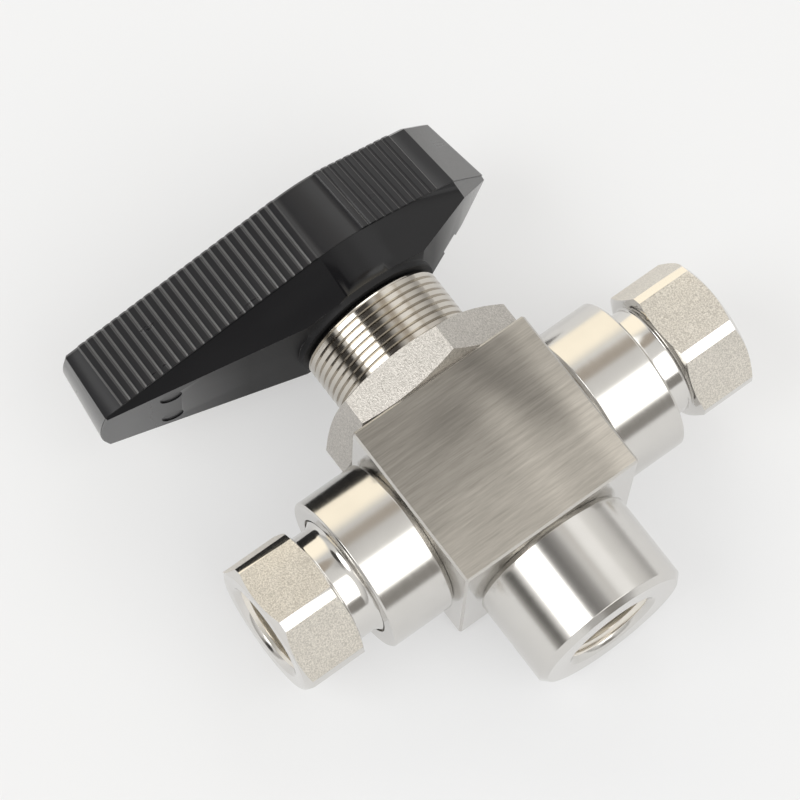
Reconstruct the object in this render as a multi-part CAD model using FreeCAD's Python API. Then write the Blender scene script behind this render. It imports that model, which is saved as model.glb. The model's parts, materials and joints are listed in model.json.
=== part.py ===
import FreeCAD, Part
import math
import os

# Three-way ball valve with a trunnion ball, in millimetres.
# The frame stands upright: +Z runs up the stem to the handle, the side ports face -X and +X,
# and the origin is the centre of the bottom port's mouth. The handle's long arm points to -X at rest.
# Thread flanks are left plain: a male thread is its crest cylinder, a female thread its root cylinder.

Vector = FreeCAD.Vector
UP = Vector(0, 0, 1)

# Valve block, a bar of brushed stainless steel
BLOCK_LENGTH = 38.1
BLOCK_DEPTH = 32.8
BLOCK_BELOW = 17.45
BLOCK_ABOVE = 16.6
BLOCK_EDGE = 0.4

# Bottom connector's outer face, from the flow centre
BOTTOM_REACH = 36.5

# Pipe thread of every port, with its countersunk mouth and tap drill
MOUTH_DIAMETER = 19.2
MOUTH_ANGLE = 118.0
PIPE_THREAD_DIAMETER = 17.1
PIPE_THREAD_DEPTH = 13.0
TAP_DRILL_DIAMETER = 14.7
TAP_DRILL_DEPTH = 16.0
DRILL_POINT_ANGLE = 118.0

# Flow passage and trunnion ball
FLOW_BORE = 6.0
BALL_DIAMETER = 15.0
TRUNNION_SHOULDER_DIAMETER = 10.6
SHOULDER_HEIGHT = 7.6
SHOULDER_DEPTH = 7.05
LOWER_TRUNNION_DIAMETER = 9.0
LOWER_TRUNNION_REACH = 11.2
STEM_DIAMETER = 9.0
STEM_SQUARE = 6.6
STEM_IN_HUB = 9.1
CAVITY_DIAMETER = 15.8

# Clearances
RUNNING_GAP = 0.05
THREAD_GAP = 0.05
SEAT_GAP = 0.04
END_GAP = 0.3
RUBBER_GAP = 0.02
SLIDE_GAP = 0.05

# Seats, their carriers and springs, as distances from the ball's centre along the port
SEAT_DIAMETER = 11.2
SEAT_FRONT = 5.6
SEAT_BACK = 8.6
CARRIER_FRONT = 7.0
CARRIER_HEAD_DIAMETER = 14.0
CARRIER_SHOULDER = 10.5
CARRIER_TAIL_DIAMETER = 9.8
CARRIER_TAIL_END = 15.0
CARRIER_GROOVE_START = 12.4
CARRIER_GROOVE_WIDTH = 1.7
CARRIER_GROOVE_DEPTH = 1.2
CONNECTOR_FACE = 11.6
CARRIER_TRAVEL = 0.4
SPRING_THICKNESS = 0.35
SPRING_PAIR = 2
SPRING_PLAY = 0.02

# Collars, screwed into the block, and the side connectors, screwed into the collars
COLLAR_THREAD_DIAMETER = 27.0
COLLAR_DIAMETER = 31.0
COLLAR_LENGTH = 13.65
COLLAR_BASE_CHAMFER = 1.1
COLLAR_EDGE = 0.35
COLLAR_RECESS_DIAMETER = 24.2
COLLAR_RECESS_DEPTH = 1.4
NECK_DIAMETER = 21.8
NECK_SHOWN = 4.9
NECK_SHOULDER_DIAMETER = 23.4
NECK_SHOULDER_INSET = 0.1
NECK_FLARE_RADIUS = 2.0
HEX_FILLET = 0.5
HEX_LENGTH = 12.8
HEX_ACROSS_FLATS = 25.2
HEX_BAR_DIAMETER = 28.0
HEX_INNER_CHAMFER_ANGLE = 24.0
HEX_OUTER_CHAMFER_ANGLE = 30.0
LEFT_HEX_TURN = 18.0
RIGHT_HEX_TURN = 26.0
FACE_GROOVE_DIAMETER = 19.6
FACE_GROOVE_WIDTH = 1.6
FACE_GROOVE_DEPTH = 1.2

# Bottom connector
BOTTOM_BARREL_DIAMETER = 31.5
BOTTOM_THREAD_DIAMETER = 19.6
BOTTOM_THREAD_TOP = 11.5
BOTTOM_MOUTH_CHAMFER = 1.2
BOTTOM_GROOVE_DIAMETER = 16.4

# Lower bearing
BEARING_OUTER_DIAMETER = 12.0
BEARING_FLANGE_DIAMETER = 15.2
BEARING_FLANGE_THICKNESS = 0.85
CAVITY_FLOOR = 8.0

# Stack on the stem, listed upwards from the trunnion's shoulder
THRUST_BEARING_HEIGHT = 2.0
PACKING_HEIGHT = 1.7
GLAND_HEIGHT = 2.0
STEM_SPRING_THICKNESS = 0.4
STEM_SPRING_HEIGHT = 0.55
STEM_SPRING_COUNT = 4

# Threaded neck that presses the stack, and the panel nut on it
NECK_THREAD_DIAMETER = 28.58
NECK_LENGTH = 20.2
NECK_TOP_CHAMFER = 0.9
BOLT_THREAD_DIAMETER = 19.2
NUT_ACROSS_FLATS = 36.5
NUT_THICKNESS = 7.3
NUT_CHAMFER_ANGLE = 20.0
NUT_TURN = -19.0
STOP_PIN_DIAMETER = 3.0
STOP_PIN_CIRCLE = 19.0
STOP_PIN_DEPTH = 4.0
STOP_PIN_HEIGHT = 2.0

# Moulded handle: its outline at the parting line, seen from above
ARM_LENGTH = 51.2
TIP_WIDTH = 13.8
TIP_BULGE = 1.4
HUB_WIDTH = 30.4
HUB_PEAK_X = 0.5
HUB_CURVE_RADIUS = 25.0
NOSE_LENGTH = 33.95
NOSE_SHOULDER_X = 26.9
NOSE_SHOULDER_WIDTH = 14.4
OUTLINE_STEP = 1.5

# Moulded handle: its heights, where the undersides leave the hub's floor, and drafts in degrees
HUB_GAP = 0.4
HUB_RIM = 1.2
HUB_RIM_DIAMETER = 29.6
FLANK_HEIGHT = 10.2
BAND_HEIGHT = 14.6
TIP_EDGE = 0.1
NOSE_EDGE = 0.85
ARM_FLOOR_REACH = 12.8
NOSE_FLOOR_REACH = 13.3
BAND_DRAFT = 6.3
FLANK_DRAFT = 4.5
PARTING_STEP = 0.15
TOP_EDGE = 0.5

# Raised ribs on both sides of the handle, in two groups
RIB_PITCH = 1.85
RIB_VALLEY = 0.75
RIB_HEIGHT = 0.4
NOSE_SMOOTH = 3.9
NOSE_RIBS_OVERLAP = 3.5
ARM_RIBS_GAP = 0.2
TIP_SMOOTH = 3.2

# Ejector marks under the handle
EJECTOR_DIAMETER = 4.3
EJECTOR_DEPTH = 0.3
ARM_EJECTOR_X = 39.0
ARM_EJECTOR_SPREAD = 10.0
NOSE_EJECTOR_X = 22.8
NOSE_EJECTOR_Y = 7.2

# Metal insert in the handle's hub, and its set screw
INSERT_DIAMETER = 24.0
INSERT_ACROSS_FLATS = 23.0
INSERT_HEIGHT = 11.0
INSERT_GAP = 0.02
STOP_GAP = 0.05
HANDLE_TRAVEL = 180.0
SET_SCREW_DIAMETER = 5.0
SET_SCREW_LENGTH = 7.0
SET_SCREW_LIFT = 5.8
SET_SCREW_SOCKET = 2.5
SET_SCREW_SOCKET_DEPTH = 2.5
SET_SCREW_ACCESS_DIAMETER = 5.8

# Places along the side ports that follow from the sizes above
COLLAR_FACE = BLOCK_LENGTH / 2 + COLLAR_LENGTH
HEX_START = COLLAR_FACE + NECK_SHOWN
SIDE_REACH = HEX_START + HEX_LENGTH

# Heights that follow from the sizes above, from the flow centre
CENTRE = BOTTOM_REACH
NECK_TOP = BLOCK_ABOVE + NECK_LENGTH
HUB_BOTTOM = NECK_TOP + HUB_GAP
HUB_FLOOR = HUB_BOTTOM + HUB_RIM
STEM_TOP = HUB_BOTTOM + STEM_IN_HUB
SET_SCREW_HEIGHT = HUB_BOTTOM + SET_SCREW_LIFT
PARTING_HEIGHT = HUB_BOTTOM + FLANK_HEIGHT
HANDLE_TOP = PARTING_HEIGHT + BAND_HEIGHT
STACK_BOTTOM = SHOULDER_HEIGHT + RUNNING_GAP
LOWER_PACKING_BOTTOM = STACK_BOTTOM + THRUST_BEARING_HEIGHT
UPPER_PACKING_BOTTOM = LOWER_PACKING_BOTTOM + PACKING_HEIGHT
GLAND_BOTTOM = UPPER_PACKING_BOTTOM + PACKING_HEIGHT
STEM_SPRINGS_BOTTOM = GLAND_BOTTOM + GLAND_HEIGHT
SPRING_CHAMBER_TOP = STEM_SPRINGS_BOTTOM + STEM_SPRING_COUNT * STEM_SPRING_HEIGHT


def turned(profile):
    """Revolve a closed profile of (radius, height) points about Z; a pair of points is an arc."""
    edges = []
    points = profile + [profile[0]]
    here = Vector(points[0][0], 0, points[0][1])
    for step in points[1:]:
        if isinstance(step[0], tuple):
            middle = Vector(step[0][0], 0, step[0][1])
            there = Vector(step[1][0], 0, step[1][1])
            edges.append(Part.Arc(here, middle, there).toShape())
        else:
            there = Vector(step[0], 0, step[1])
            edges.append(Part.makeLine(here, there))
        here = there
    return Part.Face(Part.Wire(edges)).revolve(Vector(), UP, 360)


def ring(inner, outer, bottom, top):
    """A plain ring about Z, given by its two diameters and its two heights."""
    body = Part.makeCylinder(outer / 2, top - bottom, Vector(0, 0, bottom))
    return body.cut(Part.makeCylinder(inner / 2, top - bottom, Vector(0, 0, bottom)))


def bar(diameter, bottom, top):
    return Part.makeCylinder(diameter / 2, top - bottom, Vector(0, 0, bottom))


def torus(centre_diameter, section, height):
    return Part.makeTorus(centre_diameter / 2, section / 2, Vector(0, 0, height))


def hexagon_prism(across_flats, bottom, top, turn):
    corner = across_flats / math.sqrt(3)
    points = []
    for index in range(7):
        angle = math.radians(turn + 60 * index)
        points.append(Vector(corner * math.cos(angle), corner * math.sin(angle), bottom))
    return Part.Face(Part.makePolygon(points)).extrude(Vector(0, 0, top - bottom))


def upwards(shape):
    """Place a shape made about the flow centre at its real height."""
    return shape.translated(Vector(0, 0, CENTRE))


def sideways(shape, side):
    """Turn a shape made along +Z to face the left (-1) or right (+1) port."""
    turned_shape = shape.copy()
    turned_shape.rotate(Vector(), Vector(0, 1, 0), 90 * side)
    return upwards(turned_shape)


def downwards(shape):
    turned_shape = shape.copy()
    turned_shape.rotate(Vector(), Vector(1, 0, 0), 180)
    return upwards(turned_shape)


def port_hole(reach, inner_end):
    """The hole of a port: countersink, pipe thread, tap drill, drill point and flow passage."""
    mouth = MOUTH_DIAMETER / 2
    thread = PIPE_THREAD_DIAMETER / 2
    drill = TAP_DRILL_DIAMETER / 2
    flow = FLOW_BORE / 2
    thread_end = reach - PIPE_THREAD_DEPTH
    drill_end = reach - TAP_DRILL_DEPTH
    mouth_depth = (mouth - thread) / math.tan(math.radians(MOUTH_ANGLE / 2))
    point_end = drill_end - (drill - flow) / math.tan(math.radians(DRILL_POINT_ANGLE / 2))
    return turned([
        (0, reach), (mouth, reach), (thread, reach - mouth_depth), (thread, thread_end),
        (drill, thread_end - (thread - drill)), (drill, drill_end), (flow, point_end),
        (flow, inner_end), (0, inner_end)])


def valve_block():
    body = Part.makeBox(BLOCK_LENGTH, BLOCK_DEPTH, BLOCK_ABOVE + BLOCK_BELOW,
                        Vector(-BLOCK_LENGTH / 2, -BLOCK_DEPTH / 2, -BLOCK_BELOW))
    body = body.makeChamfer(BLOCK_EDGE, body.Edges)
    body = upwards(body)
    cavity = bar(CAVITY_DIAMETER, -CAVITY_FLOOR, BLOCK_ABOVE)
    bolt_thread = bar(BOLT_THREAD_DIAMETER + 2 * THREAD_GAP, LOWER_PACKING_BOTTOM, BLOCK_ABOVE)
    bearing_hole = bar(BEARING_OUTER_DIAMETER, -BOTTOM_THREAD_TOP, -CAVITY_FLOOR)
    bottom_thread = bar(BOTTOM_THREAD_DIAMETER + 2 * THREAD_GAP, -BLOCK_BELOW, -BOTTOM_THREAD_TOP)
    for hole in (cavity, bolt_thread, bearing_hole, bottom_thread):
        body = body.cut(upwards(hole))
    for side in (-1, 1):
        body = body.cut(side_hole(side))
    return body


def side_hole(side):
    """Everything that is bored into the block from one side, as one cutter."""
    seat_bore = bar(CARRIER_HEAD_DIAMETER + 2 * SLIDE_GAP, 0, CONNECTOR_FACE)
    collar_thread = bar(COLLAR_THREAD_DIAMETER + 2 * THREAD_GAP, CONNECTOR_FACE, BLOCK_LENGTH / 2)
    groove = ring(FACE_GROOVE_DIAMETER - FACE_GROOVE_WIDTH, FACE_GROOVE_DIAMETER + FACE_GROOVE_WIDTH,
                  CONNECTOR_FACE - FACE_GROOVE_DEPTH, CONNECTOR_FACE)
    return sideways(seat_bore.fuse([collar_thread, groove]), side)


def collar(side):
    """Round end screw: its spigot threads into the block, and the connector threads into its bore."""
    spigot = COLLAR_THREAD_DIAMETER / 2
    outer = COLLAR_DIAMETER / 2
    bore = NECK_DIAMETER / 2 + THREAD_GAP
    recess = COLLAR_RECESS_DIAMETER / 2
    start = CONNECTOR_FACE
    base = BLOCK_LENGTH / 2
    floor = COLLAR_FACE - COLLAR_RECESS_DEPTH
    return sideways(turned([
        (bore, start), (spigot - COLLAR_EDGE, start), (spigot, start + COLLAR_EDGE), (spigot, base),
        (outer - COLLAR_BASE_CHAMFER, base), (outer, base + COLLAR_BASE_CHAMFER),
        (outer, COLLAR_FACE - COLLAR_EDGE), (outer - COLLAR_EDGE, COLLAR_FACE),
        (recess, COLLAR_FACE), (recess, floor), (bore, floor)]), side)


def connector(side):
    """Side connector: a threaded shank, a shoulder in the collar's recess, a neck and a hexagon."""
    bar_radius = HEX_BAR_DIAMETER / 2
    face_radius = HEX_ACROSS_FLATS / 2 - COLLAR_EDGE
    inner = (bar_radius - face_radius) * math.tan(math.radians(HEX_INNER_CHAMFER_ANGLE))
    outer = (bar_radius - face_radius) * math.tan(math.radians(HEX_OUTER_CHAMFER_ANGLE))
    head = turned([(0, HEX_START), (face_radius, HEX_START), (bar_radius, HEX_START + inner),
                   (bar_radius, SIDE_REACH - outer), (face_radius, SIDE_REACH), (0, SIDE_REACH)])
    turn = LEFT_HEX_TURN if side < 0 else RIGHT_HEX_TURN
    flats = hexagon_prism(HEX_ACROSS_FLATS, HEX_START, SIDE_REACH, side * (90 + turn))
    socket = bar(CARRIER_TAIL_DIAMETER + 2 * SLIDE_GAP, CONNECTOR_FACE, CARRIER_TAIL_END + CARRIER_TRAVEL)
    body = connector_shank().fuse(head.common(flats)).removeSplitter()
    body = body.cut(port_hole(SIDE_REACH, CONNECTOR_FACE)).cut(socket)
    return sideways(body, side)


def connector_shank():
    """Shank and neck, with the round flare down to the shoulder and the fillet at the hexagon."""
    neck = NECK_DIAMETER / 2
    shoulder = NECK_SHOULDER_DIAMETER / 2
    floor = COLLAR_FACE - COLLAR_RECESS_DEPTH
    rim = COLLAR_FACE - NECK_SHOULDER_INSET
    flare_angle = math.acos(1 - (shoulder - neck) / NECK_FLARE_RADIUS)
    flare_end = rim + NECK_FLARE_RADIUS * math.sin(flare_angle)
    flare_middle = (neck + NECK_FLARE_RADIUS * (1 - math.cos(flare_angle / 2)),
                    flare_end - NECK_FLARE_RADIUS * math.sin(flare_angle / 2))
    inset = HEX_FILLET * (1 - math.sqrt(0.5))
    fillet_middle = (neck + inset, HEX_START - inset)
    return turned([(0, CONNECTOR_FACE), (neck, CONNECTOR_FACE), (neck, floor), (shoulder, floor),
                   (shoulder, rim), (flare_middle, (neck, flare_end)), (neck, HEX_START - HEX_FILLET),
                   (fillet_middle, (neck + HEX_FILLET, HEX_START)), (0, HEX_START)])


def bottom_connector():
    """Common port: a plain round barrel whose spigot threads into the block from below."""
    spigot = BOTTOM_THREAD_DIAMETER / 2
    outer = BOTTOM_BARREL_DIAMETER / 2
    base = BLOCK_BELOW
    body = turned([
        (0, BOTTOM_THREAD_TOP), (spigot - COLLAR_EDGE, BOTTOM_THREAD_TOP),
        (spigot, BOTTOM_THREAD_TOP + COLLAR_EDGE), (spigot, base), (outer - COLLAR_BASE_CHAMFER, base),
        (outer, base + COLLAR_BASE_CHAMFER), (outer, BOTTOM_REACH - BOTTOM_MOUTH_CHAMFER),
        (outer - BOTTOM_MOUTH_CHAMFER, BOTTOM_REACH), (0, BOTTOM_REACH)])
    groove = ring(BOTTOM_GROOVE_DIAMETER - FACE_GROOVE_WIDTH, BOTTOM_GROOVE_DIAMETER + FACE_GROOVE_WIDTH,
                  BOTTOM_THREAD_TOP, BOTTOM_THREAD_TOP + FACE_GROOVE_DEPTH)
    return downwards(body.cut(port_hole(BOTTOM_REACH, BOTTOM_THREAD_TOP)).cut(groove))


def stem_square(gap, top):
    """The square on the stem that drives the handle, or the hole for it when there is a gap."""
    side = STEM_SQUARE + 2 * gap
    square = Part.makeBox(side, side, top - HUB_BOTTOM, Vector(-side / 2, -side / 2, HUB_BOTTOM))
    return square.common(bar(STEM_DIAMETER + 2 * gap, HUB_BOTTOM, top))


def trunnion_ball():
    """Ball, stem and hollow lower trunnion in one piece, with the passage that turns to one side."""
    shoulder = bar(TRUNNION_SHOULDER_DIAMETER, -SHOULDER_DEPTH, SHOULDER_HEIGHT)
    lower = bar(LOWER_TRUNNION_DIAMETER, -LOWER_TRUNNION_REACH, 0)
    stem = bar(STEM_DIAMETER, 0, HUB_BOTTOM)
    square = stem_square(0, STEM_TOP)
    body = Part.makeSphere(BALL_DIAMETER / 2).fuse([shoulder, lower, stem, square])
    passage = bar(FLOW_BORE, -LOWER_TRUNNION_REACH, 0)
    turn = Part.makeSphere(FLOW_BORE / 2)
    outlet = Part.makeCylinder(FLOW_BORE / 2, BALL_DIAMETER, Vector(), Vector(-1, 0, 0))
    return upwards(body.cut(passage.fuse([turn, outlet])))


def seat(side):
    blank = ring(FLOW_BORE, SEAT_DIAMETER, SEAT_FRONT, SEAT_BACK)
    return sideways(blank.cut(Part.makeSphere(BALL_DIAMETER / 2 + SEAT_GAP)), side)


def seat_carrier(side):
    """Floating sleeve: a cup for the seat, and a tail with a seal that slides in the connector."""
    head = ring(SEAT_DIAMETER, CARRIER_HEAD_DIAMETER, CARRIER_FRONT, SEAT_BACK)
    web = ring(FLOW_BORE, CARRIER_HEAD_DIAMETER, SEAT_BACK, CARRIER_SHOULDER)
    tail = ring(FLOW_BORE, CARRIER_TAIL_DIAMETER, CARRIER_SHOULDER, CARRIER_TAIL_END)
    groove_end = CARRIER_GROOVE_START + CARRIER_GROOVE_WIDTH
    floor = CARRIER_TAIL_DIAMETER - 2 * CARRIER_GROOVE_DEPTH
    groove = ring(floor, CARRIER_TAIL_DIAMETER, CARRIER_GROOVE_START, groove_end)
    return sideways(head.fuse([web, tail]).removeSplitter().cut(groove), side)


def carrier_seal(side):
    """Rubber ring between the groove of the carrier's tail and the connector's socket."""
    floor = CARRIER_TAIL_DIAMETER / 2 - CARRIER_GROOVE_DEPTH
    wall = CARRIER_TAIL_DIAMETER / 2 + SLIDE_GAP
    section = wall - floor - 2 * RUBBER_GAP
    middle = CARRIER_GROOVE_START + CARRIER_GROOVE_WIDTH / 2
    return sideways(torus(wall + floor, section, middle), side)


def disc_springs(inner, outer, bottom, height, thickness, count):
    """A stack of coned washers, back to back, each with its share of the height."""
    lift = height - thickness - SPRING_PLAY
    washers = []
    for index in range(count):
        base = bottom + index * height + SPRING_PLAY / 2
        inside, outside = (base, base + lift) if index % 2 else (base + lift, base)
        washers.append(turned([(inner, inside), (outer, outside),
                               (outer, outside + thickness), (inner, inside + thickness)]))
    return Part.makeCompound(washers)


def seat_springs(side):
    """Two coned washers, back to back, that press the seat carrier onto the ball."""
    height = (CONNECTOR_FACE - CARRIER_SHOULDER) / SPRING_PAIR
    inner = CARRIER_TAIL_DIAMETER / 2 + SLIDE_GAP
    outer = CARRIER_HEAD_DIAMETER / 2 - SLIDE_GAP
    return sideways(disc_springs(inner, outer, CARRIER_SHOULDER, height, SPRING_THICKNESS,
                                 SPRING_PAIR), side)


def face_seal(side):
    """Rubber ring between the block and the connector's inner end."""
    section = FACE_GROOVE_DEPTH - 2 * RUBBER_GAP
    return sideways(torus(FACE_GROOVE_DIAMETER, section, CONNECTOR_FACE - FACE_GROOVE_DEPTH / 2), side)


def bottom_seal():
    section = FACE_GROOVE_DEPTH - 2 * RUBBER_GAP
    return downwards(torus(BOTTOM_GROOVE_DIAMETER, section, BOTTOM_THREAD_TOP + FACE_GROOVE_DEPTH / 2))


def lower_bearing():
    """Flanged bush that carries the lower trunnion."""
    bore = LOWER_TRUNNION_DIAMETER + 2 * RUNNING_GAP
    bush = ring(bore, BEARING_OUTER_DIAMETER, CAVITY_FLOOR, BOTTOM_THREAD_TOP)
    flange = ring(bore, BEARING_FLANGE_DIAMETER, CAVITY_FLOOR - BEARING_FLANGE_THICKNESS, CAVITY_FLOOR)
    return downwards(bush.fuse(flange).removeSplitter())


def stem_ring(bottom, height):
    """A ring of the stack that fills the cavity around the stem."""
    return upwards(ring(STEM_DIAMETER + 2 * RUNNING_GAP, CAVITY_DIAMETER - 2 * RUBBER_GAP,
                        bottom, bottom + height))


def stem_springs():
    """Coned washers that keep the packing loaded."""
    inner = STEM_DIAMETER / 2 + RUNNING_GAP
    outer = CAVITY_DIAMETER / 2 - SLIDE_GAP
    return upwards(disc_springs(inner, outer, STEM_SPRINGS_BOTTOM, STEM_SPRING_HEIGHT,
                                STEM_SPRING_THICKNESS, STEM_SPRING_COUNT))


def packing_bolt():
    """Threaded neck: its spigot screws into the block and presses the springs on the packing."""
    spigot = BOLT_THREAD_DIAMETER / 2
    neck = NECK_THREAD_DIAMETER / 2
    chamber = CAVITY_DIAMETER / 2
    bore = STEM_DIAMETER / 2 + RUNNING_GAP
    body = turned([
        (chamber, LOWER_PACKING_BOTTOM), (spigot, LOWER_PACKING_BOTTOM), (spigot, BLOCK_ABOVE),
        (neck, BLOCK_ABOVE), (neck, NECK_TOP - NECK_TOP_CHAMFER), (neck - NECK_TOP_CHAMFER, NECK_TOP),
        (bore, NECK_TOP), (bore, SPRING_CHAMBER_TOP), (chamber, SPRING_CHAMBER_TOP)])
    pin_hole = bar(STOP_PIN_DIAMETER, NECK_TOP - STOP_PIN_DEPTH, NECK_TOP)
    return upwards(body.cut(pin_hole.translated(Vector(0, STOP_PIN_CIRCLE / 2, 0))))


def stop_pin():
    pin = bar(STOP_PIN_DIAMETER, NECK_TOP - STOP_PIN_DEPTH, NECK_TOP + STOP_PIN_HEIGHT)
    return upwards(pin.translated(Vector(0, STOP_PIN_CIRCLE / 2, 0)))


def panel_nut():
    """Hexagon nut on the neck, with its corners turned off on both faces."""
    flat = NUT_ACROSS_FLATS / 2
    corner = NUT_ACROSS_FLATS / math.sqrt(3)
    chamfer = (corner - flat) * math.tan(math.radians(NUT_CHAMFER_ANGLE))
    top = BLOCK_ABOVE + NUT_THICKNESS
    blank = turned([(0, BLOCK_ABOVE), (flat, BLOCK_ABOVE), (corner, BLOCK_ABOVE + chamfer),
                    (corner, top - chamfer), (flat, top), (0, top)])
    body = blank.common(hexagon_prism(NUT_ACROSS_FLATS, BLOCK_ABOVE, top, NUT_TURN))
    return upwards(body.cut(bar(NECK_THREAD_DIAMETER + 2 * THREAD_GAP, BLOCK_ABOVE, top)))


class Run:
    """A straight stretch of the handle's outline; outwards is to the right of the way it goes."""

    def __init__(self, start, end):
        self.start = start
        self.end = end
        self.length = (end - start).Length
        self.along = (end - start).normalize()

    def normal(self, distance):
        return Vector(self.along.y, -self.along.x, 0)

    def point(self, distance):
        return self.start + self.along * distance

    def edge(self, start, end):
        return Part.makeLine(start, end)


class Bend:
    """A round stretch of the outline; its angles run from +Y towards -X."""

    def __init__(self, centre, radius, start_angle, end_angle):
        self.centre = centre
        self.radius = radius
        self.start_angle = start_angle
        self.length = radius * (end_angle - start_angle)
        self.start = self.point(0)
        self.end = self.point(self.length)

    def normal(self, distance):
        angle = self.start_angle + distance / self.radius
        return Vector(-math.sin(angle), math.cos(angle), 0)

    def point(self, distance):
        return self.centre + self.normal(distance) * self.radius

    def edge(self, start, end):
        inset = self.radius - (start - self.centre).Length
        middle = self.centre + self.normal(self.length / 2) * (self.radius - inset)
        return Part.Arc(start, middle, end).toShape()


def handle_runs():
    """Half of the handle's outline at the parting line, from the nose round the hub to the tip."""
    nose = Vector(NOSE_LENGTH, 0, 0)
    shoulder = Vector(NOSE_SHOULDER_X, NOSE_SHOULDER_WIDTH / 2, 0)
    tip = Vector(-ARM_LENGTH, TIP_WIDTH / 2, 0)
    centre = Vector(HUB_PEAK_X, HUB_WIDTH / 2 - HUB_CURVE_RADIUS, 0)
    hub = Bend(centre, HUB_CURVE_RADIUS, -tangent_angle(shoulder.x - centre.x, shoulder.y - centre.y),
               tangent_angle(centre.x - tip.x, tip.y - centre.y))
    tip_radius = (tip.y ** 2 + TIP_BULGE ** 2) / (2 * TIP_BULGE)
    tip_centre = Vector(tip_radius - ARM_LENGTH - TIP_BULGE, 0, 0)
    end = Bend(tip_centre, tip_radius, math.acos(tip.y / tip_radius), math.pi / 2)
    return [Run(nose, shoulder), Run(shoulder, hub.start), hub, Run(hub.end, tip), end]


def tangent_angle(run, rise):
    """Angle on the hub's curve where a line from a point beside it touches the curve."""
    return math.atan2(run, rise) - math.acos(HUB_CURVE_RADIUS / math.hypot(run, rise))


def corner_shift(before, after):
    """The shift that moves a corner inwards while both of its sides move inwards by one."""
    return (before + after) * (-1 / (1 + before.dot(after)))


def run_corners(runs):
    """Start point of each run with its inward shift, and then the end of the last run."""
    corners = [(runs[0].start, corner_shift(runs[0].normal(0), mirrored(runs[0].normal(0))))]
    for before, after in zip(runs, runs[1:]):
        corners.append((after.start, corner_shift(before.normal(before.length), after.normal(0))))
    last = runs[-1]
    corners.append((last.end, last.normal(last.length) * -1))
    return corners


def mirrored(point):
    return Vector(point.x, -point.y, point.z)


def closed_outline(half):
    """The whole outline from its upper half, whose first and last points lie on the X axis."""
    return half + [mirrored(point) for point in reversed(half[1:-1])] + [half[0]]


def smooth_outline(inset, height):
    """Outline of lines and arcs, moved inwards by an inset."""
    runs = handle_runs()
    lift = Vector(0, 0, height)
    points = [corner + shift * inset for corner, shift in run_corners(runs)]
    upper = [run.edge(start, end) for run, start, end in zip(runs, points, points[1:])]
    wire = Part.Wire(upper)
    lower = wire.mirror(Vector(), Vector(0, 1, 0))
    whole = Part.Wire(Part.__sortEdges__(wire.Edges + lower.Edges))
    return whole.translated(lift)


def place(runs, distance):
    """Point and outward normal at a distance along the outline."""
    for run in runs:
        if distance <= run.length:
            break
        distance -= run.length
    return run.point(distance), run.normal(distance)


def rib_marks(start, end):
    """Distances and heights of the ribs' edges along one stretch: valley, crest, crest, valley."""
    count = int((end - start) / RIB_PITCH)
    slope = RIB_VALLEY / 2
    marks = [(start, 0)]
    for index in range(count):
        valley = start + index * RIB_PITCH
        marks += [(valley + slope, RIB_HEIGHT), (valley + RIB_PITCH - slope, RIB_HEIGHT),
                  (valley + RIB_PITCH, 0)]
    return marks


def even_marks(start, end):
    """Distances along a round stretch without ribs."""
    count = math.ceil((end - start) / OUTLINE_STEP)
    return [(start + (end - start) * index / count, 0) for index in range(1, count)]


def ribbed_outline(inset, height):
    """Outline with both groups of ribs, moved inwards by an inset."""
    runs = handle_runs()
    corners = [corner + shift * inset for corner, shift in run_corners(runs)]
    shoulder = runs[0].length
    hub = shoulder + runs[1].length
    arm = hub + runs[2].length
    tip = arm + runs[3].length
    nose_ribs = rib_marks(shoulder + NOSE_SMOOTH, hub + NOSE_RIBS_OVERLAP)
    arm_ribs = rib_marks(arm + ARM_RIBS_GAP, tip - TIP_SMOOTH)
    marks = nose_ribs + even_marks(nose_ribs[-1][0], arm_ribs[0][0]) + arm_ribs
    half = corners[:2] + [inset_point(runs, mark, inset) for mark in marks] + [corners[4]]
    half += [inset_point(runs, mark, inset) for mark in even_marks(tip, tip + runs[4].length)]
    points = closed_outline(half + [corners[5]])
    return Part.makePolygon(points).translated(Vector(0, 0, height))


def inset_point(runs, mark, inset):
    distance, rise = mark
    point, normal = place(runs, distance)
    return point + normal * (rise - inset)


def handle_band():
    """Upper part of the handle, with the ribs, up to its softened top edge."""
    slope = math.tan(math.radians(BAND_DRAFT))
    levels = [(PARTING_HEIGHT, 0), (HANDLE_TOP - TOP_EDGE, 0), (HANDLE_TOP, TOP_EDGE)]
    wires = []
    for height, extra in levels:
        wires.append(ribbed_outline((height - PARTING_HEIGHT) * slope + extra, height))
    return Part.makeLoft(wires, True, True)


def handle_flank():
    """Lower part of the handle, from the parting line down to the sloping undersides."""
    draft = (PARTING_HEIGHT - HUB_FLOOR) * math.tan(math.radians(FLANK_DRAFT))
    body = Part.makeLoft([smooth_outline(PARTING_STEP + draft, HUB_FLOOR),
                          smooth_outline(PARTING_STEP, PARTING_HEIGHT)], True, True)
    arm_end = -ARM_LENGTH - TIP_BULGE
    profile = [Vector(arm_end, 0, PARTING_HEIGHT), Vector(arm_end, 0, PARTING_HEIGHT - TIP_EDGE),
               Vector(-ARM_FLOOR_REACH, 0, HUB_FLOOR), Vector(NOSE_FLOOR_REACH, 0, HUB_FLOOR),
               Vector(NOSE_LENGTH, 0, PARTING_HEIGHT - NOSE_EDGE),
               Vector(NOSE_LENGTH, 0, PARTING_HEIGHT)]
    profile.append(profile[0])
    side = Part.Face(Part.makePolygon([point - Vector(0, HUB_WIDTH, 0) for point in profile]))
    return body.common(side.extrude(Vector(0, 2 * HUB_WIDTH, 0)))


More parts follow.
